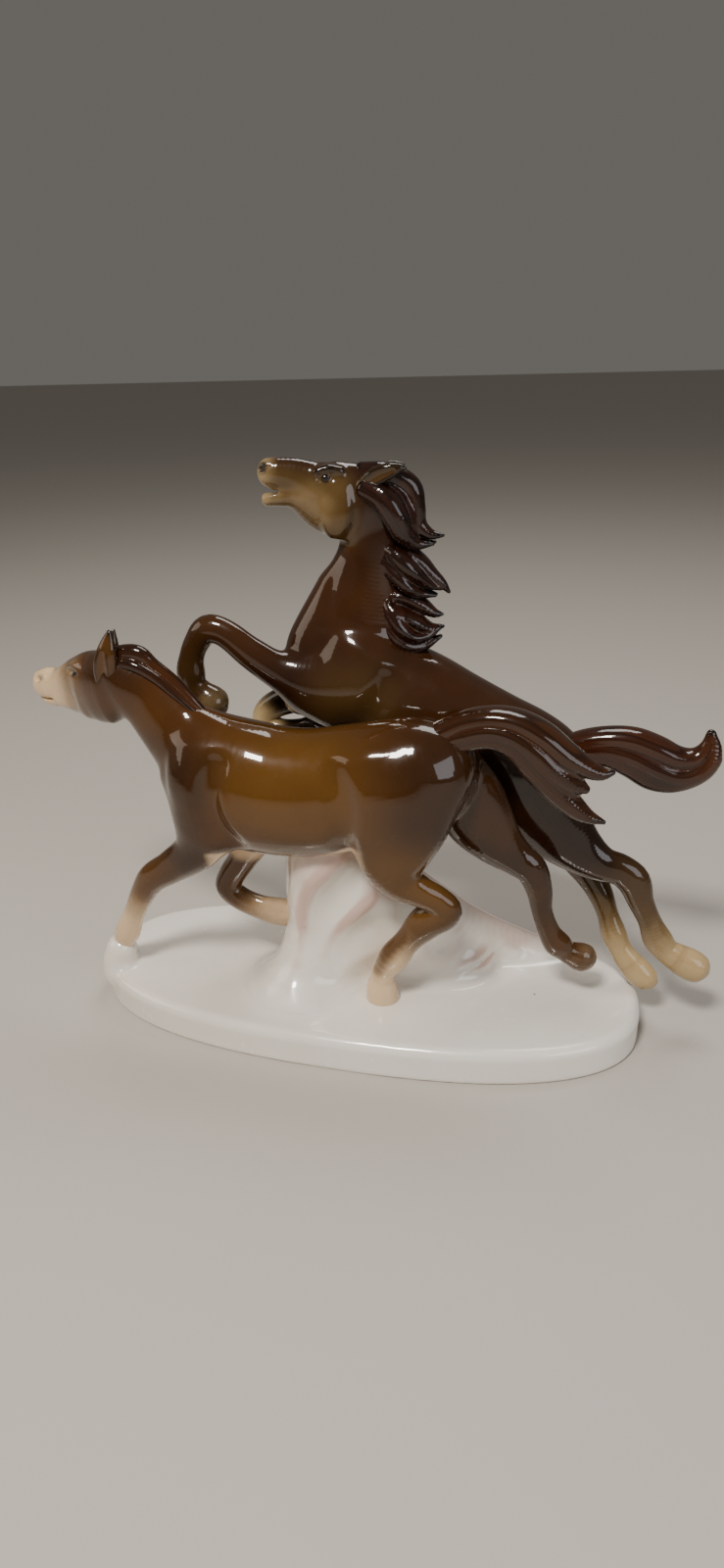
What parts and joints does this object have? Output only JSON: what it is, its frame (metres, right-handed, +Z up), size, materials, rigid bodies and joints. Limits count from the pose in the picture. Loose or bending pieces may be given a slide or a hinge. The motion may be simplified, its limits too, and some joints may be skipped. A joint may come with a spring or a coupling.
{
  "type": "porcelain horse group",
  "caption": "Glazed porcelain group: a galloping mare in front of a leaping stallion, carried by a white stump on an oval white plinth.",
  "frame": {"origin": "centre of the box at table level, the middle of the plinth's foot", "axes": "+X from the horses' heads to their tails along the plinth, +Y from the mare to the stallion, +Z up"},
  "size_m": [0.2559, 0.088, 0.2044],
  "materials": {
    "white_glaze": "warm white clear glaze over porcelain, high gloss, a few tiny specks",
    "mare_coat_glaze": "airbrushed golden to chocolate brown under clear glaze, fading to cream at muzzle and hooves",
    "mare_hair_glaze": "near-black brown under clear glaze, warm where thin",
    "stallion_coat_glaze": "airbrushed dark chocolate brown under clear glaze, tan cheek and cream hooves",
    "stallion_hair_glaze": "near-black brown under clear glaze, warm where thin"
  },
  "bodies": {
    "root": {"forehoof_pad": "white_glaze", "mare_head_neck": "mare_coat_glaze", "mare_left_ear": "mare_coat_glaze", "mare_left_foreleg": "mare_coat_glaze", "mare_left_hindleg": "mare_coat_glaze", "mare_mane": "mare_hair_glaze", "mare_right_ear": "mare_coat_glaze", "mare_right_foreleg": "mare_coat_glaze", "mare_right_hindleg": "mare_coat_glaze", "mare_tail": "mare_hair_glaze", "mare_torso": "mare_coat_glaze", "plinth": "white_glaze", "stallion_head_neck": "stallion_coat_glaze", "stallion_left_ear": "stallion_coat_glaze", "stallion_left_foreleg": "stallion_coat_glaze", "stallion_left_hindleg": "stallion_coat_glaze", "stallion_lower_mane": "stallion_hair_glaze", "stallion_middle_mane": "stallion_hair_glaze", "stallion_right_ear": "stallion_coat_glaze", "stallion_right_foreleg": "stallion_coat_glaze", "stallion_right_hindleg": "stallion_coat_glaze", "stallion_tail": "stallion_hair_glaze", "stallion_torso": "stallion_coat_glaze", "stallion_upper_mane": "stallion_hair_glaze", "support_stump": "white_glaze"}
  },
  "joints": []
}
